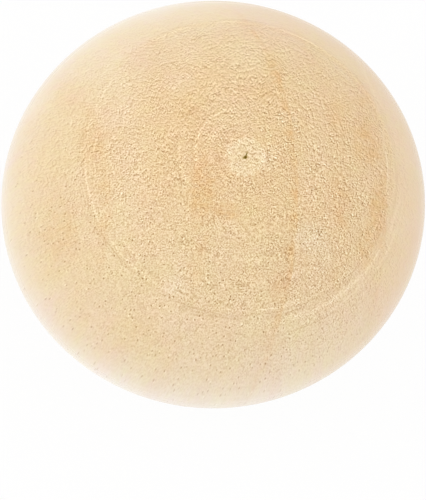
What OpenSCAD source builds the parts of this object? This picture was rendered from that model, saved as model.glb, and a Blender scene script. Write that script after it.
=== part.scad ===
// Small wooden ball, turned between the ends of a dowel.
// The fibres run along Z, which was the lathe's axis. X crosses the growth rings, and Y runs along them.
// The origin is the centre of the ball.

/* [Ball] */
// Turned diameter, which the dry ball keeps along the fibres and across the growth rings
ball_d = 10; // [6:0.5:60]
// Shrinkage along the growth rings as the wood dried, in percent of the turned diameter
drying_loss = 3.95; // [0:0.05:8]

/* [Sanded ends] */
// Diameter of the flat that sanding left at each end, where the ball was parted from the dowel
flat_d = 0.9; // [0.4:0.05:2]
// Diameter of the pit at the middle of the upper flat
pit_d = 0.1; // [0.05:0.01:0.3]
// Depth of the pit below the flat
pit_depth = 0.07; // [0.02:0.01:0.3]
// Diameter of the shallow hollow on the pit's rim
hollow_d = 0.08; // [0.04:0.01:0.1]
// Depth of that hollow below the flat
hollow_depth = 0.03; // [0.01:0.01:0.1]
// Direction of the hollow from the pit, as an angle from X towards Y
hollow_turn = 200; // [150:1:240]
// Reach of the torn slit from the middle of the pit
tear_reach = 0.19; // [0.16:0.01:0.25]
// Width of the slit at the pit
tear_w = 0.03; // [0.01:0.005:0.04]
// Depth of the slit below the flat
tear_depth = 0.04; // [0.01:0.01:0.3]
// Direction of the slit, as an angle from X towards Y
tear_turn = 73; // [0:1:120]

/* [Tool rings] */
// Angle from the fibre axis to the groove where the end cutter met the side cutter
groove_angle = 47.5; // [35:0.5:75]
// Width of that groove
groove_w = 0.4; // [0.1:0.02:0.6]
// Depth of that groove
groove_depth = 0.015; // [0.005:0.005:0.06]
// Number of fine turning rings around each end
fine_rings = 3; // [0:1:5]
// Angle from the fibre axis to the first fine ring
fine_start = 8.5; // [8:0.5:12]
// Angle between one fine ring and the next
fine_pitch = 5; // [3:0.5:5]
// Width of a fine ring
fine_w = 0.16; // [0.06:0.01:0.2]
// Depth of a fine ring
fine_depth = 0.008; // [0.002:0.001:0.02]

/* [Hidden] */
$fn = 96;
wood = "#EACEA4";
ball_r = ball_d / 2;
// Height of each flat above or below the centre, where a chord as long as the flat cuts the round
flat_z = sqrt(pow(ball_r, 2) - pow(flat_d / 2, 2));
// Share of the turned diameter that is left along the growth rings
dry_share = 1 - drying_loss / 100;
// Height by which the cutting shapes pass the surface that they open
past = 0.02;

// Nose radius of the cutter that leaves a groove of width w and depth t
function nose_r(w, t) = (pow(w / 2, 2) + pow(t, 2)) / (2 * t);

// Section of one cut by a round-nosed tool, at an angle from the fibre axis
module tool_cut(angle, w, t) {
    nose = nose_r(w, t);
    rotate(-angle)
        translate([0, ball_r - t + nose])
            circle(r = nose);
}

// Sections of all the cuts around the upper end
module end_cuts() {
    tool_cut(groove_angle, groove_w, groove_depth);
    for (i = [0 : 1 : fine_rings - 1])
        tool_cut(fine_start + i * fine_pitch, fine_w, fine_depth);
}

// Half of the ball's section as it left the lathe and the sander, to the right of its upright axis
module turned_section() {
    difference() {
        intersection() {
            circle(r = ball_r);
            translate([0, -flat_z])
                square([ball_r, 2 * flat_z]);
        }
        for (lower = [0, 1])
            mirror([0, lower])
                end_cuts();
    }
}

// A quarter turn of the section, made narrower along the growth rings as drying made it
module dried_quarter() {
    scale([1, dry_share, 1])
        rotate_extrude(angle = 90)
            turned_section();
}

// The whole round, which has the same form on both sides of X and of Y
module dried_round() {
    for (left = [0, 1], front = [0, 1])
        mirror([left, 0, 0])
            mirror([0, front, 0])
                dried_quarter();
}

// Cone with its tip down, of diameter d where it opens in the upper flat
module torn_cone(d, depth) {
    mouth_d = d * (depth + past) / depth;
    translate([0, 0, flat_z - depth])
        cylinder(h = depth + past, d1 = 0, d2 = mouth_d);
}

// Pit where the last fibres tore out of the upper end, with the hollow that they left on its rim
module pit() {
    torn_cone(pit_d, pit_depth);
    rotate(hollow_turn)
        translate([pit_d / 2, 0])
            torn_cone(hollow_d, hollow_depth);
}

// Slit that one torn fibre left, from the middle of the pit to a point on the flat
module tear() {
    translate([0, 0, flat_z - tear_depth])
        rotate(tear_turn)
            linear_extrude(tear_depth + past)
                polygon([[0, -tear_w / 2], [tear_reach, 0], [0, tear_w / 2]]);
}

module ball() {
    color(wood)
        difference() {
            dried_round();
            pit();
            tear();
        }
}

ball();
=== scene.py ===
# %% [markdown]
# # A small wooden ball
# This lesson dresses one turned wooden ball, ten millimetres across, in its own bare wood. The
# construction model gives the true size and place of the ball, and it comes in first as a fixed frame.
# Everything after it is measured against that frame, so nothing has to be fitted by eye.

# %% Load the frame
import math

import bpy
from mathutils import Matrix, Vector


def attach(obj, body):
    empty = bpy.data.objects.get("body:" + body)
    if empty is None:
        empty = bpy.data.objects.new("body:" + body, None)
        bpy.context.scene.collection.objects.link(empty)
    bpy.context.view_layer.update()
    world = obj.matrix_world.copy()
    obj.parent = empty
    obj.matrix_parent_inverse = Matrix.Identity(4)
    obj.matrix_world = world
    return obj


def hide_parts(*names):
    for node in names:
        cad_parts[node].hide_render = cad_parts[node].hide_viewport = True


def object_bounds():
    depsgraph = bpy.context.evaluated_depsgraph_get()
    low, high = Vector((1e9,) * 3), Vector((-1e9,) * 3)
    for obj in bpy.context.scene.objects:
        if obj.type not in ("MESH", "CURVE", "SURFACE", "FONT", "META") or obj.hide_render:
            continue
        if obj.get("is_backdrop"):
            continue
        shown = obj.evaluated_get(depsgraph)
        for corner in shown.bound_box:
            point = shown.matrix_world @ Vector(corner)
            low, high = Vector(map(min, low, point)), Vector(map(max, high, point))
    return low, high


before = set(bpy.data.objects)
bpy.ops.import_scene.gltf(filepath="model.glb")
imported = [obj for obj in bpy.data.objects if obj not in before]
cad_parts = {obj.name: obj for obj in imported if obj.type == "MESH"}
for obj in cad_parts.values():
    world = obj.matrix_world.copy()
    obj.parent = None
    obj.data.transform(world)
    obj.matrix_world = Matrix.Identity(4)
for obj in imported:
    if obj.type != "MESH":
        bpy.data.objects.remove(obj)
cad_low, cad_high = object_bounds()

MM = 0.001
DEGREES = 180 / math.pi
size_mm = (cad_high - cad_low) / MM
print("size of the solid ball in mm:", [round(v, 3) for v in size_mm])

# %% [markdown]
# ## Camera
# The camera looks almost straight down on one end of the fibres, from a little to the left and in
# front. A camera could be placed by hand and turned until it looks right. Here its three directions are
# worked out instead, from how far the fibre axis leans to the right and up in the picture, because two
# numbers are easier to correct than a turned object. A long lens far away keeps the round outline free
# of perspective.

# %% Camera: the directions of the picture
axis_right = 0.1508
axis_up = 0.215
picture_right = Vector((math.sqrt(1 - axis_right ** 2), 0, axis_right))
up_x = -axis_up * axis_right / picture_right.x
picture_up = Vector((up_x, math.sqrt(1 - up_x ** 2 - axis_up ** 2), axis_up))
to_camera = picture_right.cross(picture_up).normalized()
fibre_axis = Vector((0, 0, 1))
print("the camera looks", round(to_camera.angle(fibre_axis) * DEGREES, 1), "degrees off the fibre axis")

# %% Camera: lens and place
picture_px = (426, 500)
px_per_mm = 42.4
ball_px = (213.1, 204.6)
camera_distance = 200 * MM
picture_height = picture_px[1] / px_per_mm * MM
camera_data = bpy.data.cameras.new("camera")
camera_data.lens = camera_distance / picture_height * camera_data.sensor_width
camera_data.clip_start = 0.01
camera_data.clip_end = 10
camera = bpy.data.objects.new("camera", camera_data)
scene = bpy.context.scene
scene.collection.objects.link(camera)
scene.camera = camera
right_mm = (picture_px[0] / 2 - ball_px[0]) / px_per_mm
up_mm = (ball_px[1] - picture_px[1] / 2) / px_per_mm
aim = (picture_right * right_mm + picture_up * up_mm) * MM
camera_turn = Matrix((picture_right, picture_up, to_camera)).transposed().to_4x4()
camera.matrix_world = Matrix.Translation(aim + to_camera * camera_distance) @ camera_turn
print("lens", round(camera_data.lens), "mm, aimed at", [round(v / MM, 2) for v in aim], "mm")

# %% [markdown]
# ## A helper that makes node trees read like sums
# A node tree is a formula with a box for every plus and times. Written box by box it is hard to follow.
# A `Field` holds the output of one node. Adding or multiplying two Fields makes the Math node and joins
# it up. The same helper works in Geometry Nodes and in a material, because both use the same Math
# nodes.

# %% Field: sums
def connect(tree, value, socket):
    """Puts a number, a tuple or another node's output into a socket."""
    if isinstance(value, Field):
        tree.links.new(value.socket, socket)
    else:
        socket.default_value = value


class Field:
    """The output of a node, which can be used in sums."""

    def __init__(self, tree, socket):
        self.tree = tree
        self.socket = socket

    def calc(self, operation, *others):
        node = self.tree.nodes.new("ShaderNodeMath")
        node.operation = operation
        for slot, value in enumerate((self, *others)):
            connect(self.tree, value, node.inputs[slot])
        return Field(self.tree, node.outputs[0])

    def __add__(self, other):
        return self.calc("ADD", other)

    def __sub__(self, other):
        return self.calc("SUBTRACT", other)

    def __mul__(self, other):
        return self.calc("MULTIPLY", other)

    def __truediv__(self, other):
        return self.calc("DIVIDE", other)

    def __radd__(self, number):
        return self + number

    def __rmul__(self, number):
        return self * number

    def __rsub__(self, number):
        return self * -1.0 + number

    def at_least(self, limit):
        return self.calc("MAXIMUM", limit)

    def at_most(self, limit):
        return self.calc("MINIMUM", limit)

    def size(self):
        return self.calc("ABSOLUTE")

    def smooth(self, start, end, low=0.0, high=1.0):
        """Goes smoothly from low to high as the field goes from start to end."""
        node = self.tree.nodes.new("ShaderNodeMapRange")
        node.interpolation_type = "SMOOTHSTEP"
        connect(self.tree, self, node.inputs["Value"])
        limits = {"From Min": start, "From Max": end, "To Min": low, "To Max": high}
        for name, value in limits.items():
            connect(self.tree, value, node.inputs[name])
        return Field(self.tree, node.outputs[0])

    def hill(self, centre, half_width):
        """1 at the centre, falling smoothly to 0 at half_width on either side."""
        return (self - centre).size().smooth(0.0, half_width, 1.0, 0.0)


trial = bpy.data.node_groups.new("trial", "GeometryNodeTree")
trial_value = Field(trial, trial.nodes.new("ShaderNodeValue").outputs[0])
trial_sum = (trial_value + 1.0) * 2.0
last_step = trial_sum.socket.node.operation.lower()
print("a value, a plus and a times make", len(trial.nodes), "nodes, and the last is to", last_step)
bpy.data.node_groups.remove(trial)

# %% Field: places and noise
def add_node(tree, kind, output=0, **inputs):
    """Adds a node, fills its inputs, and gives the output that is asked for, or its first."""
    node = tree.nodes.new(kind)
    for name, value in inputs.items():
        connect(tree, value, node.inputs[name.replace("_", " ")])
    return Field(tree, node.outputs[output])


def vector(tree, x, y, z):
    """Makes one place of its three parts."""
    return add_node(tree, "ShaderNodeCombineXYZ", X=x, Y=y, Z=z)


def split(tree, source):
    """Gives the three parts of a place or a colour."""
    node = tree.nodes.new("ShaderNodeSeparateXYZ")
    connect(tree, source, node.inputs[0])
    return [Field(tree, output) for output in node.outputs]


def distance(*parts):
    """How far a place is from zero, from its parts along each axis."""
    return sum(part * part for part in parts).calc("SQRT")


def noise(tree, place, scale, detail=2.0, roughness=0.5):
    """Cloudy noise from about 0 to 1, with about `scale` bumps to a millimetre."""
    return add_node(
        tree, "ShaderNodeTexNoise", Vector=place, Scale=scale, Detail=detail, Roughness=roughness
    )


print("helpers for places:", [helper.__name__ for helper in (add_node, vector, split, distance, noise)])

# %% [markdown]
# ## The turned form
# On the real ball every tool mark is a ring around the lathe's axis, so the form follows one rule: the
# radius depends only on the angle from the axis. A UV sphere would crowd its faces into needles at the
# pole, which is just where this ball is looked at. A finely cut cube, blown up to a sphere, has even
# faces instead. The tree is made in Geometry Nodes, because there every size stays an input that can be
# changed later.

# %% Geometry Nodes: a tree with named sizes
ball_tree = bpy.data.node_groups.new("turned ball", "GeometryNodeTree")
ball_tree.interface.new_socket("Geometry", in_out="OUTPUT", socket_type="NodeSocketGeometry")
tree_in = ball_tree.nodes.new("NodeGroupInput")
size_values = {}


def size_input(name, value):
    """Gives the tree an input with a name and a size, and gives back its place in the tree."""
    socket = ball_tree.interface.new_socket(name, in_out="INPUT", socket_type="NodeSocketFloat")
    socket.default_value = value
    size_values[socket.identifier] = value
    return Field(ball_tree, tree_in.outputs[name])


ball_r = cad_high.x / MM
dry_share = cad_high.y / cad_high.x
flat_z = cad_high.z / MM
turned_r = size_input("Turned radius", ball_r)
print("turned radius", round(ball_r, 3), "mm, and a share of", round(dry_share, 4), "left by drying")

# %% Geometry Nodes: a cut cube becomes a sphere
points_per_edge = 129
cube = ball_tree.nodes.new("GeometryNodeMeshCube")
cube.inputs["Size"].default_value = (2, 2, 2)
for axis in "XYZ":
    cube.inputs["Vertices " + axis].default_value = points_per_edge
start = add_node(ball_tree, "GeometryNodeInputPosition")
on_cube = [(part * (math.pi / 4)).calc("TANGENT") for part in split(ball_tree, start)]
length = distance(*on_cube)
out_x, out_y, out_z = [part / length for part in on_cube]
cube_faces = 6 * (points_per_edge - 1) ** 2
print("cube faces:", cube_faces)

# %% [markdown]
# ## More faces at the pitted end
# The pit is a tenth of a millimetre across, which is less than two even faces. Cutting the whole ball
# fine enough for it would cost about two million faces. Drawing the faces towards that one end costs
# none: each point keeps its side of the ball and only its angle from the axis becomes smaller, most of
# all near the pit.

# %% Geometry Nodes: draw the faces towards the pitted end
pull = 0.8
pull_reach = 0.3
across = distance(out_x, out_y)
even_angle = across.calc("ARCTAN2", out_z)
pulled_angle = even_angle - even_angle * (pull * pull_reach) / (even_angle + pull_reach)
far_end_angle = math.pi - math.pi * pull * pull_reach / (math.pi + pull_reach)
axis_angle = pulled_angle * (math.pi / far_end_angle)
side = axis_angle.calc("SINE")
rise = axis_angle.calc("COSINE")
steepness = rise.size()
finer = far_end_angle / math.pi / (1 - pull)
print("the faces at the pit are", round(finer, 1), "times finer")
print("a whole ball as fine would have", round(cube_faces * finer ** 2 / 1e6, 1), "million faces")

# %% [markdown]
# ## Flats and tool marks
# The ball was parted from its dowel at both ends, and each scar was sanded to a small flat. A flat is
# the rule that no point lies above a plane, which is the smaller of two radii. A tool mark is a shallow
# round bottom, so it is one parabola in the angle from the end. There is one wider groove and three
# fine rings at each end.

# %% Geometry Nodes: the turned profile
groove_angle = size_input("Groove angle", 47.5)
groove_width = size_input("Groove width", 0.4)
groove_depth = size_input("Groove depth", 0.015)
ring_width = size_input("Fine ring width", 0.16)
ring_depth = size_input("Fine ring depth", 0.008)
flat_height = size_input("Flat height", flat_z)
fine_ring_angles = (8.5, 13.5, 18.5)
end_angle = steepness.calc("ARCCOSINE") * DEGREES


def tool_mark(angle, width, depth):
    """How deep a round-nosed tool has cut, for a groove at one angle from the axis."""
    half_angle = width * 0.5 / turned_r * DEGREES
    off = (end_angle - angle) / half_angle
    return depth * (1.0 - off * off).at_least(0.0)


marks_depth = tool_mark(groove_angle, groove_width, groove_depth)
for ring_angle in fine_ring_angles:
    marks_depth = marks_depth + tool_mark(ring_angle, ring_width, ring_depth)
radius = (turned_r - marks_depth).at_most(flat_height / steepness)
turned_x = out_x / across * side * radius
turned_y = out_y / across * side * radius
turned_z = rise * radius
flat_d = 2 * math.sqrt(ball_r ** 2 - flat_z ** 2)
print("tool marks at each end:", 1 + len(fine_ring_angles), "and a flat", round(flat_d, 2), "mm across")

# %% [markdown]
# ## Pit and tear
# The pit is where the last fibres tore as the ball came off the dowel. It is a small cone with a hollow
# on its rim, and the tear is a wedge that runs out of it and closes to a point. They could be cut with
# Booleans, but those would leave long thin faces. Moving points down by the deepest of the three cuts
# keeps the faces clean.

# %% Geometry Nodes: pit and hollow
pit_r = size_input("Pit diameter", 0.1) * 0.5
pit_depth = size_input("Pit depth", 0.07)
hollow_r = size_input("Hollow diameter", 0.08) * 0.5
hollow_depth = size_input("Hollow depth", 0.03)
hollow_turn = math.radians(200)


def cone(from_middle, cone_r, depth):
    """How deep a round pit is at a distance from its middle."""
    return (1.0 - from_middle / cone_r).at_least(0.0) * depth


pit_cut = cone(distance(turned_x, turned_y), pit_r, pit_depth)
hollow_x = turned_x - pit_r * math.cos(hollow_turn)
hollow_y = turned_y - pit_r * math.sin(hollow_turn)
hollow_cut = cone(distance(hollow_x, hollow_y), hollow_r, hollow_depth)
print("the tree has", len(ball_tree.nodes), "nodes and", len(size_values), "named sizes so far")

# %% Geometry Nodes: tear
tear_reach = size_input("Tear reach", 0.19)
tear_width = size_input("Tear width", 0.03)
tear_depth = size_input("Tear depth", 0.04)
tear_turn = math.radians(73)


def along_tear(at_x, at_y):
    """How far a point is out along the tear, and how far beside it."""
    along = at_x * math.cos(tear_turn) + at_y * math.sin(tear_turn)
    beside = (at_y * math.cos(tear_turn) - at_x * math.sin(tear_turn)).size()
    return along, beside


tear_along, tear_beside = along_tear(turned_x, turned_y)
# The half width is divided by, so it never quite comes down to zero.
closed_half = 0.0001
tear_half = ((1.0 - tear_along / tear_reach) * tear_width * 0.5).at_least(closed_half)
tear_cut = (1.0 - tear_beside / tear_half).at_least(0.0)
tear_cut = tear_cut * tear_along.calc("GREATER_THAN", 0.0) * tear_depth
upper_end = rise.calc("GREATER_THAN", 0.0)
end_cut = pit_cut.at_least(hollow_cut).at_least(tear_cut) * upper_end
print("the tear points", round(math.degrees(tear_turn)), "degrees round the axis")

# %% [markdown]
# ## Raised fibres and drying
# Bare end grain stands up in a fine fuzz, and cut fibres on the belt lie flatter. Noise moves the
# points by a few thousandths of a millimetre, only inwards, so that the ball keeps its size. The noise
# is squeezed along Z, because a fibre is much longer than it is wide. Last, the turned ball dries: wood
# shrinks more along its growth rings than across them, so Y becomes a few percent shorter than X.

# %% Geometry Nodes: raised fibres
relief_mm = 0.006
fibre_squeeze = 0.12
fibres_per_mm = 9.0
fibre_relief = size_input("Fibre relief", relief_mm)
fibre_place = vector(ball_tree, turned_x, turned_y, turned_z * fibre_squeeze)
fibre = noise(ball_tree, fibre_place, fibres_per_mm, detail=1.0).smooth(0.3, 0.7)
fuzz = steepness.smooth(0.3, 0.95, 0.25, 1.0)
keep = 1.0 - fibre * fuzz * fibre_relief / radius
print("fibres are sunk by up to", round(relief_mm * 1000), "thousandths of a millimetre")

# %% Geometry Nodes: drying and the finished mesh
dried = size_input("Share left by drying", dry_share)
dried_x = turned_x * keep * MM
dried_y = turned_y * keep * dried * MM
dried_z = (turned_z * keep - end_cut) * MM
wood = bpy.data.materials.new("bare wood")
cube_mesh = Field(ball_tree, cube.outputs["Mesh"])
dried_place = vector(ball_tree, dried_x, dried_y, dried_z)
placed = add_node(ball_tree, "GeometryNodeSetPosition", Geometry=cube_mesh, Position=dried_place)
smoothed = add_node(ball_tree, "GeometryNodeSetShadeSmooth", Geometry=placed)
realized = add_node(ball_tree, "GeometryNodeRealizeInstances", Geometry=smoothed)
finished = add_node(ball_tree, "GeometryNodeSetMaterial", Geometry=realized, Material=wood)
tree_out = ball_tree.nodes.new("NodeGroupOutput")
connect(ball_tree, finished, tree_out.inputs[0])
print("the finished tree has", len(ball_tree.nodes), "nodes")

# %% [markdown]
# ## A plain mesh
# The modifier needs an object to sit on, so an empty carrier is made for it. Its inputs are set by the
# sockets' own identifiers before it is looked at for the first time. The result is then kept as a plain
# mesh and the carrier is thrown away, so that nothing live is left to slow the file down or to be lost
# in an export.

# %% Make the ball a plain mesh
carrier = bpy.data.objects.new("carrier", bpy.data.meshes.new("carrier"))
scene.collection.objects.link(carrier)
lathe = carrier.modifiers.new("turned ball", "NODES")
lathe.node_group = ball_tree
for identifier, value in size_values.items():
    lathe[identifier] = value
evaluated = carrier.evaluated_get(bpy.context.evaluated_depsgraph_get())
ball_mesh = bpy.data.meshes.new_from_object(evaluated)
ball_mesh.name = "turned_ball"
bpy.data.objects.remove(carrier)
ball = bpy.data.objects.new("turned_ball", ball_mesh)
scene.collection.objects.link(ball)
print("ball:", len(ball_mesh.vertices), "points,", len(ball_mesh.polygons), "faces")

# %% [markdown]
# ## Bare wood
# The finish is a solid pattern, as wood itself is: every colour depends on the point's own place in the
# ball, in millimetres, so the ends show end grain, the belt shows long grain, and nothing needs to be
# unwrapped. Fibres run along Z. Squeezing Z in the noise draws every speck out into a long thread along
# the fibres. A picture of wood wrapped round the ball could be used instead, but it would pinch and
# smear at both ends.

# %% Wood: place in the ball
wood.use_nodes = True
wood_tree = wood.node_tree
shader = wood_tree.nodes["Principled BSDF"]
coords = add_node(wood_tree, "ShaderNodeTexCoord", output="Object")
x, y, z = [part * (1 / MM) for part in split(wood_tree, coords)]
thread_squeeze = 0.1
thread_z = z * thread_squeeze
along_fibres = vector(wood_tree, x, y, thread_z)
round_y = y / dry_share
off_axis = distance(x, round_y)
facing_x = x / off_axis
facing_y = round_y / off_axis
upper = z.calc("GREATER_THAN", 0.0)
print("threads along the fibres are", round(1 / thread_squeeze), "times as long as they are wide")

# %% Wood: sides and angles
def facing(degrees):
    """1 on the side of the ball at this angle round the axis, and -1 on the side across from it."""
    return facing_x * math.cos(math.radians(degrees)) + facing_y * math.sin(math.radians(degrees))


def out_towards(degrees):
    """How far out a point lies towards one side, as a share of the ball's radius."""
    return (x * math.cos(math.radians(degrees)) + y * math.sin(math.radians(degrees))) / ball_r


# The belt's axis leans towards the camera, so the belt lies round the outline seen from there, and its
# paler colour is partly long grain and partly painted rim light.
belt_axis = Vector((-0.12, -0.19, 0.974)).normalized()
belt_rise = (x * belt_axis.x + y * belt_axis.y + z * belt_axis.z) / distance(x, y, z)
from_end = belt_rise.size().at_most(1.0).calc("ARCCOSINE") * DEGREES
polar = off_axis.calc("ARCTAN2", z.size()) * DEGREES
belt = from_end.smooth(25, 88)
print("the pale belt leans", round(belt_axis.angle(fibre_axis) * DEGREES, 1), "degrees off the fibre axis")

# %% [markdown]
# ## Slow clouds in the wood
# Wood is never one colour. Over a millimetre or so it drifts a little lighter and darker, a little
# pinker and a little yellower, and the three don't go together. So each drift is a noise of its own,
# taken from another place in the same endless noise by adding a step to X and Y. Two more noises bend
# the growth lines.

# %% Wood: slow clouds
def drift(step_x, step_y, scale, detail=2.0, roughness=0.5):
    """Noise in threads along the fibres, from about -0.5 to 0.5."""
    place = vector(wood_tree, x + step_x, y + step_y, thread_z)
    return noise(wood_tree, place, scale, detail=detail, roughness=roughness) - 0.5


wander = drift(20, 0, 0.9)
ripple = drift(0, 30, 3.5)
clouds = drift(7, 3, 1.6)
pink = drift(2, -9, 1.1, detail=4.0, roughness=0.85) * from_end.smooth(45, 80, 1.0, 1.4)
yellow = drift(-8, -4, 1.1, detail=4.0, roughness=0.85) * from_end.smooth(40, 75, 1.0, 1.8)
print("nodes in the wood so far:", len(wood_tree.nodes))

# %% [markdown]
# ## Growth rings
# A growth ring is a slow build-up of darker late wood that ends in a sharp line. A tree's rings are
# wide next to this small ball, so they cross it as gentle curves around a pith that lies outside it.
# Blender's Wave texture makes even rings, and these are uneven, so each ring is a row with its own
# place and strength instead.

# %% Wood: growth rings
pith_x = -12.0
pith_y = -1.2
ring_place = distance(x - pith_x, y - pith_y) + pith_x + wander * 0.12 + ripple * 0.10

# Place of the line, build-up before it and fall after it in mm, and how dark it is.
growth_rings = (
    (-5.50, 1.50, 0.30, 0.40),
    (-3.05, 0.70, 0.15, 0.45),
    (-0.88, 0.90, 0.20, 0.38),
    (1.24, 0.30, 0.05, 1.00),
    (2.35, 0.50, 0.30, 0.35),
    (3.55, 0.55, 0.06, 0.90),
    (5.45, 1.60, 0.20, 0.90),
)


def growth_ring(place, build_up, fall, strength):
    """The darkness of one ring: a slow build-up to its line and a short fall past it."""
    late = ring_place.smooth(place - build_up, place)
    return late * late * ring_place.smooth(place, place + fall, strength, 0.0)


late_wood = sum(growth_ring(*row) for row in growth_rings)
print("growth rings:", len(growth_rings), "around a pith", abs(pith_x), "mm to the left")

# %% Wood: where the rings fade
patch_place = vector(wood_tree, x * 0.6, y + 12, thread_z)
ring_patches = noise(wood_tree, patch_place, 1.3, detail=1.0).smooth(0.35, 0.65, 0.45, 1.35)
ring_fade = y.smooth(-2.0, 1.5, 1.0, 0.55)
belt_fade = polar.smooth(48, 58, 1.0, 0.5) + polar.smooth(68, 82, 0.0, 0.5)
late_wood = late_wood * ring_patches * (ring_fade * belt_fade)
pale_seam = ring_place.hill(3.68, 0.06) * y.smooth(0.3, 1.2)
print("nodes in the wood so far:", len(wood_tree.nodes))

# %% [markdown]
# ## Stains and pale spots
# Minerals and sap leave orange smudges in the wood, and some spots stay pale. They don't repeat and
# follow no rule, so they are set one by one, like freckles, each a soft oval. Noise on the place frays
# their edges. They belong to one piece of wood and one end of it, so they fade out before the lower
# half.

# %% Wood: stains and pale spots
# Middle in X and Y and reach in X and Y in mm, and strength, which is below zero for a pale spot.
stains = (
    (0.10, 0.20, 1.60, 2.00, 0.12),
    (0.75, 2.35, 0.25, 0.55, 0.55),
    (0.95, -2.80, 0.28, 0.35, 0.50),
    (1.05, -2.10, 0.20, 0.25, 0.35),
    (0.85, -3.90, 0.35, 0.50, 0.35),
    (0.35, 3.50, 0.40, 0.30, 0.40),
    (2.98, 0.62, 0.38, 0.60, 0.75),
    (3.26, -0.95, 0.24, 0.65, 0.95),
    (3.06, -1.75, 0.28, 0.50, 0.80),
    (3.00, 1.60, 0.25, 0.70, 0.35),
    (2.30, 1.20, 0.30, 0.50, 0.35),
    (2.30, -0.80, 0.35, 0.50, 0.15),
    (-1.30, 1.10, 0.45, 0.40, 0.20),
    (-1.95, -0.60, 0.50, 1.50, 0.25),
    (-0.80, -0.70, 0.50, 0.90, 0.28),
    (-1.00, -0.85, 0.30, 0.60, 0.80),
    (-0.38, -1.28, 0.35, 0.20, 0.75),
    (0.05, 1.62, 1.10, 0.25, 0.20),
    (-3.35, 0.60, 0.35, 0.70, 0.35),
    (-4.00, -1.45, 0.55, 0.75, 0.75),
    (-3.85, 1.95, 0.35, 0.45, 0.30),
    (-2.40, -3.80, 1.30, 0.55, 0.40),
    (-4.20, -0.30, 0.40, 0.80, 0.25),
    (-1.45, -2.78, 0.35, 0.35, -0.70),
    (1.55, -1.70, 0.45, 0.40, -0.90),
    (2.05, -2.05, 0.40, 0.35, -0.60),
    (0.50, -0.05, 0.22, 0.35, -0.60),
    (-2.80, 2.20, 0.80, 0.90, -0.70),
    (-1.45, 1.85, 0.35, 0.35, -0.60),
    (-1.30, -3.50, 0.40, 0.30, -0.60),
    (1.60, 0.30, 0.50, 1.00, -0.25),
    (-2.50, 0.60, 0.50, 1.30, -0.30),
    (-0.40, 1.20, 0.70, 0.80, -0.30),
    (-2.90, 1.30, 0.50, 0.60, -0.45),
    (-1.30, 2.60, 0.60, 0.45, -0.45),
    (0.10, 2.60, 0.60, 0.45, -0.40),
    (1.00, 0.95, 0.25, 0.25, -0.50),
    (-4.45, 2.15, 0.35, 0.60, -0.80),
)
fray = ripple * 0.25
frayed_x = x + fray
frayed_y = y + fray


def soft_oval(middle_x, middle_y, reach_x, reach_y, strength):
    """One patch with a soft, frayed edge."""
    away = distance((frayed_x - middle_x) / reach_x, (frayed_y - middle_y) / reach_y)
    return away.smooth(0.2, 1.4, strength, 0.0)


stain = sum(soft_oval(*row) for row in stains) * z.smooth(0.0, 1.5)
dark_wood = late_wood + stain
pale_spots = [row for row in stains if row[-1] < 0]
print("stains:", len(stains) - len(pale_spots), "and pale spots:", len(pale_spots))

# %% [markdown]
# ## Cut fibres
# A cutting tool tears end grain into a fine speckle, and fibres that lean lie down in curved silky
# lines. The speckle is plain noise. The lines are where another noise crosses its middle value, and
# they run along arcs round a point in front of the pit. Each line is taken twice, a hair apart, and the
# two are subtracted, which paints a highlight on one edge and a shade on the other, as if the fibre
# stood up in light from one side.

# %% Wood: speckle
specks_per_mm = 31.0
clumps_per_mm = 9.0
speckle = noise(wood_tree, along_fibres, specks_per_mm, detail=0.0) - 0.5
clump = noise(wood_tree, along_fibres, clumps_per_mm, detail=0.0) - 0.5
print("specks to a millimetre: about", round(specks_per_mm), "and clumps:", round(clumps_per_mm))

# %% Wood: silky lines of fibre, with a painted highlight and shade
arc_centre = (-0.77, -3.17)
arc_stretch = 4.4
silk_per_mm = 12.0
highlight_to_shade_step = 0.036
arc_x = x - arc_centre[0]
arc_y = y - arc_centre[1]
arc_far = distance(arc_x, arc_y)
arc_along = arc_x.calc("ARCTAN2", arc_y) * arc_stretch
wavy_far = arc_far + drift(-15, 5, 1.2, detail=1.0) * 0.3


def fibre_lines(far):
    """Thin curved lines where noise crosses its middle value, at one distance from the arcs' centre."""
    place = vector(wood_tree, arc_along, far, thread_z)
    return noise(wood_tree, place, silk_per_mm, detail=0.0).hill(0.5, 0.09)


# Subtracting a shifted copy paints a highlight on one edge of each line and a shade on the other.
silk_with_painted_edges = fibre_lines(wavy_far) - fibre_lines(wavy_far + highlight_to_shade_step)
silk_share = arc_far.smooth(0.6, 4.5, 0.3, 1.5)
speckle_share = arc_far.smooth(2.5, 5.5, 1.0, 0.75)
print("the bright and the dark edge are", round(highlight_to_shade_step * 1000), "thousandths of a millimetre apart")

# %% [markdown]
# ## Pores
# A pore is an open vessel, seen from its end as a dark dot, which is painted shade in the hole. Beside
# it lies a small bright spot, a painted highlight. A Voronoi texture scatters cells with one point each,
# and its Position output says where that point is, so a dot and a highlight can be drawn from the same
# point. Each cell's own random colour says how open its pore is and to which side its highlight lies.
# In threads along the fibres the dots become the fine dashes of long grain.

# %% Wood: scatter the pores
pores_per_mm = 11.0
pores = wood_tree.nodes.new("ShaderNodeTexVoronoi")
pores.inputs["Scale"].default_value = pores_per_mm
connect(wood_tree, along_fibres, pores.inputs["Vector"])
pore_x, pore_y, pore_z = split(wood_tree, Field(wood_tree, pores.outputs["Position"]))
pore_pick, pore_turn, _ = split(wood_tree, Field(wood_tree, pores.outputs["Color"]))
print("cells to a square millimetre: about", round(pores_per_mm ** 2))
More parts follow.
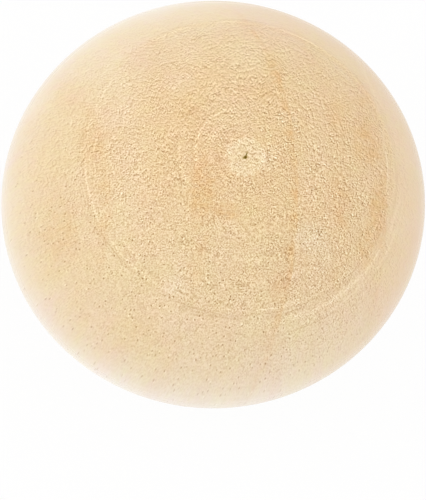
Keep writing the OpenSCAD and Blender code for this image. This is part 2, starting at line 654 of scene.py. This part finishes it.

# %% Wood: a dot of painted shade and a painted highlight
aside_x = x - pore_x
aside_y = y - pore_y
aside_z = thread_z - pore_z
pore_r = 0.027
highlight_r = 0.030
highlight_step = 0.031
highlight_turn = pore_turn * math.tau
highlight_x = aside_x - highlight_turn.calc("COSINE") * highlight_step
highlight_y = aside_y - highlight_turn.calc("SINE") * highlight_step
front_side = out_towards(243)
pore_open = pore_pick.smooth(0.25, 0.80) * front_side.smooth(-0.15, 0.65, 0.10, 1.0)
# The dot is painted shade in the open pore, and the spot beside it is a painted highlight.
pore_shade = distance(aside_x, aside_y, aside_z).smooth(0.006, pore_r, 1.0, 0.0) * pore_open
pore_highlight = distance(highlight_x, highlight_y, aside_z).smooth(0.004, highlight_r, 1.0, 0.0) * pore_open
print("a lip lies", round(highlight_step * 1000), "thousandths of a millimetre beside its pore")

# %% [markdown]
# ## Marks of the lathe
# The tool leaves rings around the lathe's axis that catch the light as broken arcs. The ball sat a hair
# askew each time it was cut, so the inner and the outer rings have axes that lean a little from the
# pit. The grooves in the mesh give the form. What is drawn here is painted light and shade: a lighter
# and a darker arc beside each groove, each only on some sides round the axis.

# %% Wood: angles from the leaning axes
def lathe_angle(lean, toward):
    """The angle in degrees from an axis that leans away from the pit towards one side."""
    lean_out = math.sin(math.radians(lean))
    axis_x = lean_out * math.cos(math.radians(toward))
    axis_y = lean_out * math.sin(math.radians(toward))
    axis_z = math.cos(math.radians(lean))
    on_axis = (x * axis_x + round_y * axis_y + z.size() * axis_z) / distance(x, round_y, z)
    return on_axis.at_most(1.0).calc("ARCCOSINE") * DEGREES


inner_lean = 1.5
outer_lean = 2.5
inner_angle = lathe_angle(inner_lean, 110)
outer_angle = lathe_angle(outer_lean, 70)
print("the rings lean", inner_lean, "and", outer_lean, "degrees from the pit")

# %% Wood: painted light and shade beside the grooves
# Each row is a painted highlight or a painted shade beside a groove or ring.
# Angle from the axis, half width, brightness, the side that the arc's middle faces, and its reach each way.
groove_light_lines = (
    (7.4, 1.0, -0.20, 170, 100),
    (8.8, 0.8, 0.25, 150, 180),
    (10.2, 1.2, 0.13, 165, 60),
    (12.9, 0.5, 0.85, 165, 60),
    (13.9, 0.5, -0.35, 160, 60),
    (17.2, 0.5, 0.60, 170, 55),
    (18.2, 0.6, -0.30, 140, 70),
    (21.0, 0.7, 0.20, 90, 90),
    (42.9, 0.5, 0.20, 200, 60),
    (44.8, 0.6, 0.40, 350, 35),
    (45.9, 0.6, 0.40, 190, 60),
    (46.3, 0.7, 0.38, 280, 55),
    (47.0, 0.6, 0.60, 75, 65),
    (47.1, 0.35, -0.50, 195, 55),
    (47.7, 0.5, -0.52, 280, 70),
    (48.0, 0.35, -0.35, 175, 60),
    (48.4, 0.7, -0.35, 85, 70),
    (49.0, 0.8, -0.25, 280, 45),
    (49.3, 1.2, -0.25, 10, 40),
    (51.2, 1.2, 0.35, 315, 50),
    (54.0, 0.8, 0.25, 315, 45),
    (55.6, 0.4, -0.35, 310, 40),
)
# Arcs nearer to the end than this angle go round the inner axis.
inner_limit = 30


def painted_groove_arc(angle, half_width, brightness, middle, reach):
    """One arc of painted highlight or shade round its leaning axis, strongest at its middle."""
    ring_angle = inner_angle if angle < inner_limit else outer_angle
    reach_share = facing(middle).smooth(math.cos(math.radians(reach)), 1.0, 0.0, brightness)
    return ring_angle.hill(angle, half_width) * reach_share


broken_place = vector(wood_tree, facing_x, facing_y, polar * 0.25)
broken = noise(wood_tree, broken_place, 4.5, detail=1.0).smooth(0.35, 0.65, 0.2, 1.35)
arcs = sum(painted_groove_arc(*row) for row in groove_light_lines) * broken
print("arcs:", len(groove_light_lines), "of which bright:", len([row for row in groove_light_lines if row[2] > 0]))

# %% Wood: faint scratches and the side past the groove
scratch_place = vector(wood_tree, facing_x * 0.6, facing_y * 0.6, polar * 1.1)
scratch = noise(wood_tree, scratch_place, 1.0, detail=2.0) - 0.5
outer = outer_angle.smooth(47.2, 48.4) * facing(60).smooth(-0.3, 0.5, 0.3, 1.0)
print("nodes in the wood so far:", len(wood_tree.nodes))

# %% [markdown]
# ## Pale disc and torn pit
# Sanding the parting scar left a small pale disc with a wavy edge, where the fibres are polished shut.
# Its edge is a distance with pairs of shallow lobes taken off it. Inside it, wood that lies below the
# flat is brown from its torn fibres, and the deeper pit and the tear are darker still, which is painted
# shade: the material measures its own depth under the flat, so the colour follows the pit in the mesh
# by itself.

# %% Wood: pale disc
disc_r = 0.42
disc_blur = 0.04
lobe_pairs = 9
lobe_depth = 0.05
lobes = (facing_y.calc("ARCTAN2", facing_x) * lobe_pairs).calc("SINE").size()
disc_edge = off_axis - lobes * lobe_depth + fray + clump * 0.1
disc = disc_edge.smooth(disc_r - disc_blur, disc_r + disc_blur, 1.0, 0.0) * upper
disc_rim = disc_edge.hill(0.36, 0.09) * upper
disc_d = 2 * (disc_r + lobe_depth / 2)
print("the disc is about", round(disc_d, 2), "mm across and has", lobe_pairs, "pairs of lobes")

# %% Wood: torn pit and painted shade
torn_reach = 0.3
below_flat = (flat_z - z) * off_axis.calc("LESS_THAN", torn_reach) * upper
slit_along, slit_beside = along_tear(x, y)
tear_shade_mask = slit_beside.smooth(0.008, 0.026, 1.0, 0.0) * slit_along.smooth(0.06, 0.22, 1.0, 0.0)
tear_shade_mask = tear_shade_mask * slit_along.calc("GREATER_THAN", 0.0) * upper
# The torn fibres are brown, and the deeper part and the tear get painted shade.
torn = below_flat.smooth(0.005, 0.020).at_least(tear_shade_mask)
deep_painted_shade = below_flat.smooth(0.018, 0.038).at_least(tear_shade_mask * 0.7)
points = [vertex.co / MM for vertex in ball_mesh.vertices]
pit_floor = min(point.z for point in points if point.z > 0 and point.xy.length < torn_reach)
print("the pit in the mesh is", round(flat_z - pit_floor, 3), "mm deep")

# %% [markdown]
# ## Light and dark
# All the small things are now put together in one number for each point, its tone: above zero it is
# lighter than the wood around it, and below zero it is darker. The fine texture is a little uneven from
# side to side and from patch to patch. It is strongest on end grain, and it all but disappears on the
# belt, where the knife ran along the fibres. The same texture goes to the bump, because what is lighter
# here is also what stands up.

# %% Wood: fine texture
rough_patch = drift(31, 0, 3.5, detail=1.0).smooth(-0.17, 0.17, 0.75, 1.25)
uneven = (x * 0.04 + 1.03) * rough_patch * front_side.smooth(0.40, 0.80, 1.0, 0.80)
uneven = uneven * out_towards(155).smooth(-0.10, 0.40, 1.0, 0.87)
texture = (speckle * speckle_share * 1.40 + silk_with_painted_edges * silk_share * 0.28) * uneven + clump * 0.05
# Strong specks gain on weak ones, and then the brightest of them are held back.
texture = texture * (texture * texture * 0.6 + 0.95)
bright_limit = 0.12
texture = texture - (texture - bright_limit).at_least(0.0) * 0.6 + 0.004
past_groove = outer_angle.smooth(47.0, 49.0) * facing(45).smooth(-0.3, 0.6, 0.14, 0.55)
end_grain = from_end.smooth(20, 80, 1.0, 0.15) * (1.0 - past_groove)
polish = 0.16
relief = texture * end_grain * (1.0 - disc * polish)
print("the disc takes", round(polish * 100), "percent off the texture")

# %% Wood: tone
dash_share = 0.25
pore_show = end_grain * (1 - dash_share) + dash_share
# Painted shade: the wood near the edge is drawn darker on one side.
painted_shade_side = facing(45).smooth(0.2, 0.9) * from_end.smooth(66, 80)
tone_parts = {
    # Arcs: painted highlight and shade beside the grooves.
    "arcs": arcs * 0.30,
    "clouds": clouds * 0.055,
    "scratches": scratch * 0.05,
    "growth rings": late_wood * -0.02,
    "stains": stain * -0.02,
    # The lighter belt is partly long grain and partly painted rim light.
    "belt": belt * 0.05,
    # Painted shade on one side.
    "dark side": painted_shade_side * -0.04,
    "pale seam": pale_seam * 0.04,
    "past the groove": outer * 0.02,
    "disc": disc * 0.03,
    "rim of the disc": disc_rim * 0.07,
    # Pores: a painted shade with a painted highlight beside it.
    "pores": (pore_highlight * 0.28 - pore_shade * 0.95) * pore_show,
}
tone = relief + sum(tone_parts.values())
print("the tone is made of the texture and", ", ".join(tone_parts))

# %% [markdown]
# ## Colour
# The base is the colour of fresh pale wood. Every other colour is laid over it as a thin glaze, with a
# share that says where it lies: brown in late wood and stains, a paler belt that is partly long grain
# and partly painted rim light, painted light as white on one side of the belt and paler wood towards the
# lower left, and painted shade as amber on the side across. Last the tone is applied. Darkening all
# three channels alike would make the shadows grey, and in real wood blue falls fastest, so each channel
# answers the tone with its own reach.

# %% Wood: one colour over another
def mix_colour(share, first, second):
    """Lays the second colour over the first one, by a share from 0 to 1."""
    node = wood_tree.nodes.new("ShaderNodeMix")
    node.data_type = "RGBA"
    colour_sockets = [socket for socket in node.inputs if socket.type == "RGBA"]
    connect(wood_tree, share, node.inputs[0])
    connect(wood_tree, first, colour_sockets[0])
    connect(wood_tree, second, colour_sockets[1])
    return Field(wood_tree, next(socket for socket in node.outputs if socket.type == "RGBA"))


fresh_wood = (0.780, 0.561, 0.312, 1)
fresh_percent = [round(v * 100) for v in fresh_wood[:3]]
print("fresh wood gives back", fresh_percent, "percent of red, green and blue light")

# %% Wood: where each glaze lies
mottle = drift(0, -17, 4.0, detail=3.0, roughness=0.75).smooth(-0.2, 0.2, 0.3, 1.7)
brown = (dark_wood * mottle * 0.52).at_least(0.0).at_most(0.6)
bleached = (dark_wood * -0.30).at_least(0.0)
# Painted light: paler wood towards the lower left of the end.
painted_light_low_left = out_towards(240).smooth(-0.05, 0.55) * from_end.smooth(60, 85, 1.0, 0.0)
quarter_side = facing(112)
# Paler belt: partly long grain, partly painted rim light.
belt_glaze_and_rim_light = belt * (quarter_side * quarter_side * 0.45 + 0.18)
# Painted light: the belt turns white towards the lower left.
painted_light_belt = out_towards(233).smooth(0.17, 1.09) * from_end.smooth(50, 88)
# Painted shade: an amber glaze on the side across from the painted light.
painted_shade_reach = from_end.smooth(45, 80) * from_end.smooth(60, 80, 0.60, 0.85)
painted_shade_amber = facing(20).smooth(-0.2, 0.9) * painted_shade_reach
yellow_side = facing(200).smooth(0.7, 0.98) * from_end.smooth(40, 75)
print("nodes in the wood so far:", len(wood_tree.nodes))

# %% Wood: glazes
# The share of each glaze, and its colour.
glazes = (
    (brown, (0.745, 0.440, 0.169, 1)),
    # Painted light on the lower left.
    (painted_light_low_left * 0.19, (0.78, 0.70, 0.50, 1)),
    (bleached, (0.80, 0.67, 0.49, 1)),
    # Belt glaze: partly long grain, partly painted rim light.
    (belt_glaze_and_rim_light, (0.83, 0.71, 0.54, 1)),
    # Painted light: white on one side of the belt.
    (painted_light_belt * 0.34, (0.94, 0.90, 0.89, 1)),
    # Painted shade: amber on the side across.
    (painted_shade_amber, (0.72, 0.48, 0.25, 1)),
    (yellow_side * 0.18, (0.74, 0.54, 0.26, 1)),
    (outer * 0.15, (0.84, 0.71, 0.52, 1)),
    (disc * 0.26, (0.845, 0.762, 0.49, 1)),
)
colour = fresh_wood
for share, glaze in glazes:
    colour = mix_colour(share, colour, glaze)
print("glazes over the fresh wood:", len(glazes))

# %% Wood: tone and drift in each channel
# How far red, green and blue follow the tone, and the drifts to pink and to yellow.
tone_reach = (0.79, 1.09, 1.50)
pink_reach = (0.04, -0.14, 0.0)
yellow_reach = (0.0, 0.04, -0.26)
channels = []
for channel, *reach in zip(split(wood_tree, colour), tone_reach, pink_reach, yellow_reach):
    change = tone * reach[0] + pink * reach[1] + yellow * reach[2]
    channels.append((channel * change.calc("EXPONENT")).at_most(1.0))
torn_light = (0.50, 0.36, 0.11, 1)
pit_shade_colour = (0.25, 0.155, 0.005, 1)
# The deeper pit and the tear get painted shade, a darker brown.
torn_and_shade_colour = mix_colour(deep_painted_shade, torn_light, pit_shade_colour)
colour = mix_colour(torn, vector(wood_tree, *channels), torn_and_shade_colour)
connect(wood_tree, colour, shader.inputs["Base Color"])
print("blue answers the tone", round(tone_reach[2] / tone_reach[0], 1), "times as much as red")

# %% [markdown]
# ## Gloss, fuzz and bump
# Bare wood has no varnish. End grain is dull, and the belt, where the knife slid along the fibres, has
# a faint silky gloss. The fine fuzz catches light at the edge of the ball, which is what the Sheen
# inputs are for. The fuzz is thicker on one side, so the sheen's weight goes by the side. The bump only
# adds the very finest grain, and everything that can be seen in the outline is in the mesh.

# %% Wood: gloss, fuzz and bump
end_roughness = 0.65
belt_roughness = 0.25
bump_height = 0.0025 * MM
thick_fuzz = facing(170).smooth(-0.1, 0.5, 0.35, 1.0)
surface = {
    "Roughness": belt * (belt_roughness - end_roughness) + end_roughness,
    "IOR": 1.45,
    "Sheen Weight": thick_fuzz,
    "Sheen Roughness": 0.26,
    "Sheen Tint": (1.0, 0.98, 0.94, 1),
    "Normal": add_node(wood_tree, "ShaderNodeBump", Height=relief, Distance=bump_height),
}
for name, value in surface.items():
    connect(wood_tree, value, shader.inputs[name])
print("the roughness falls from", end_roughness, "on end grain to", belt_roughness, "on the belt")
print("the finished wood has", len(wood_tree.nodes), "nodes")

# %% [markdown]
# ## Light tent
# Small wooden goods are often lit in a tent of white cloth, which gives soft light from every side and
# hardly any shadow. A plain white world does the same work as a tent built from panels, and it renders
# faster. Its strength is 1, at which a colour renders about as it is written.

# %% Light tent
scene.view_settings.view_transform = "Standard"
world = bpy.data.worlds.new("light tent")
scene.world = world
world.use_nodes = True
sky = world.node_tree
tent = sky.nodes["Background"]
tent.inputs["Color"].default_value = (1, 1, 1, 1)
tent.inputs["Strength"].default_value = 1.0
print("the tent has a strength of", tent.inputs["Strength"].default_value)

# %% [markdown]
# ## Floor
# The ball lies on white paper. Lit paper never renders quite as white as the tent behind it, and more
# light would burn out the ball. So rays that only look at the background find paper that glows by
# itself, mixed with a little real paper, which keeps the ball's shadow. Rays that carry light still
# meet plain matt paper.

# %% Floor: white paper
floor_reach = 600 * MM
floor_sides = ((-1, -1), (1, -1), (1, 1), (-1, 1))
floor_corners = [(floor_reach * side_x, floor_reach * side_y, cad_low.z) for side_x, side_y in floor_sides]
floor_mesh = bpy.data.meshes.new("floor")
floor_mesh.from_pydata(floor_corners, [], [(0, 1, 2, 3)])
floor = bpy.data.objects.new("floor", floor_mesh)
scene.collection.objects.link(floor)
floor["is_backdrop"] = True
print("the floor lies at", round(cad_low.z / MM, 3), "mm")

# %% Floor: paper that glows only for the eye
paper = bpy.data.materials.new("paper")
paper.use_nodes = True
paper_tree = paper.node_tree
paper_tree.nodes.clear()
ray = paper_tree.nodes.new("ShaderNodeLightPath")
background_rays = ("Is Camera Ray", "Is Glossy Ray", "Is Transmission Ray")
seen = sum(Field(paper_tree, ray.outputs[name]) for name in background_rays).at_most(1.0)
glow_share = 0.95
matt = add_node(paper_tree, "ShaderNodeBsdfDiffuse", Color=(0.92, 0.92, 0.92, 1))
glow = add_node(paper_tree, "ShaderNodeEmission", Color=(1, 1, 1, 1), Strength=1.0)
paper_mix = paper_tree.nodes.new("ShaderNodeMixShader")
for socket, value in zip(paper_mix.inputs, (seen * glow_share, matt, glow)):
    connect(paper_tree, value, socket)
paper_out = paper_tree.nodes.new("ShaderNodeOutputMaterial")
connect(paper_tree, Field(paper_tree, paper_mix.outputs[0]), paper_out.inputs[0])
floor_mesh.materials.append(paper)
print("the paper keeps", round((1 - glow_share) * 100), "percent of its shadow")

# %% [markdown]
# ## Key light
# One soft lamp to the upper left gives the ball its gentle modelling: the light falls off a little
# towards the right and the fibres get a lit side. It is a wide disc, because a small lamp would give
# hard shadows. Its power is worked out from a share of the tent's light and from its distance, so it
# can be moved without a new guess.

# %% Key light
key_share = 0.12
key_distance = 250 * MM
key_width = 160 * MM
key_right, key_up, key_front = -0.70, 0.28, 0.65
key_data = bpy.data.lights.new("key", "AREA")
key_data.shape = "DISK"
key_data.size = key_width
key_data.energy = key_share * math.pi ** 2 * key_distance ** 2
key = bpy.data.objects.new("key", key_data)
scene.collection.objects.link(key)
to_key = (picture_right * key_right + picture_up * key_up + to_camera * key_front).normalized()
key.location = to_key * key_distance
key.rotation_euler = to_key.to_track_quat("Z", "Y").to_euler()
print("the key has", round(key_data.energy * 1000, 1), "milliwatts")

# %% [markdown]
# ## Fit
# The dressed ball takes the place of the solid one in the frame. It rides on the root body, because the
# ball has no moving parts, and it is one piece of one material. The two boxes are written down side by
# side: the dressed ball never reaches outside the solid one, because every mark on it was cut inwards.

# %% Fit
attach(ball, "root")
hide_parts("ball")
low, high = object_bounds()
margins = [v / MM for v in (*(cad_high - high), *(low - cad_low))]
print("the dressed ball stays inside by", [round(v, 4) for v in margins], "mm")
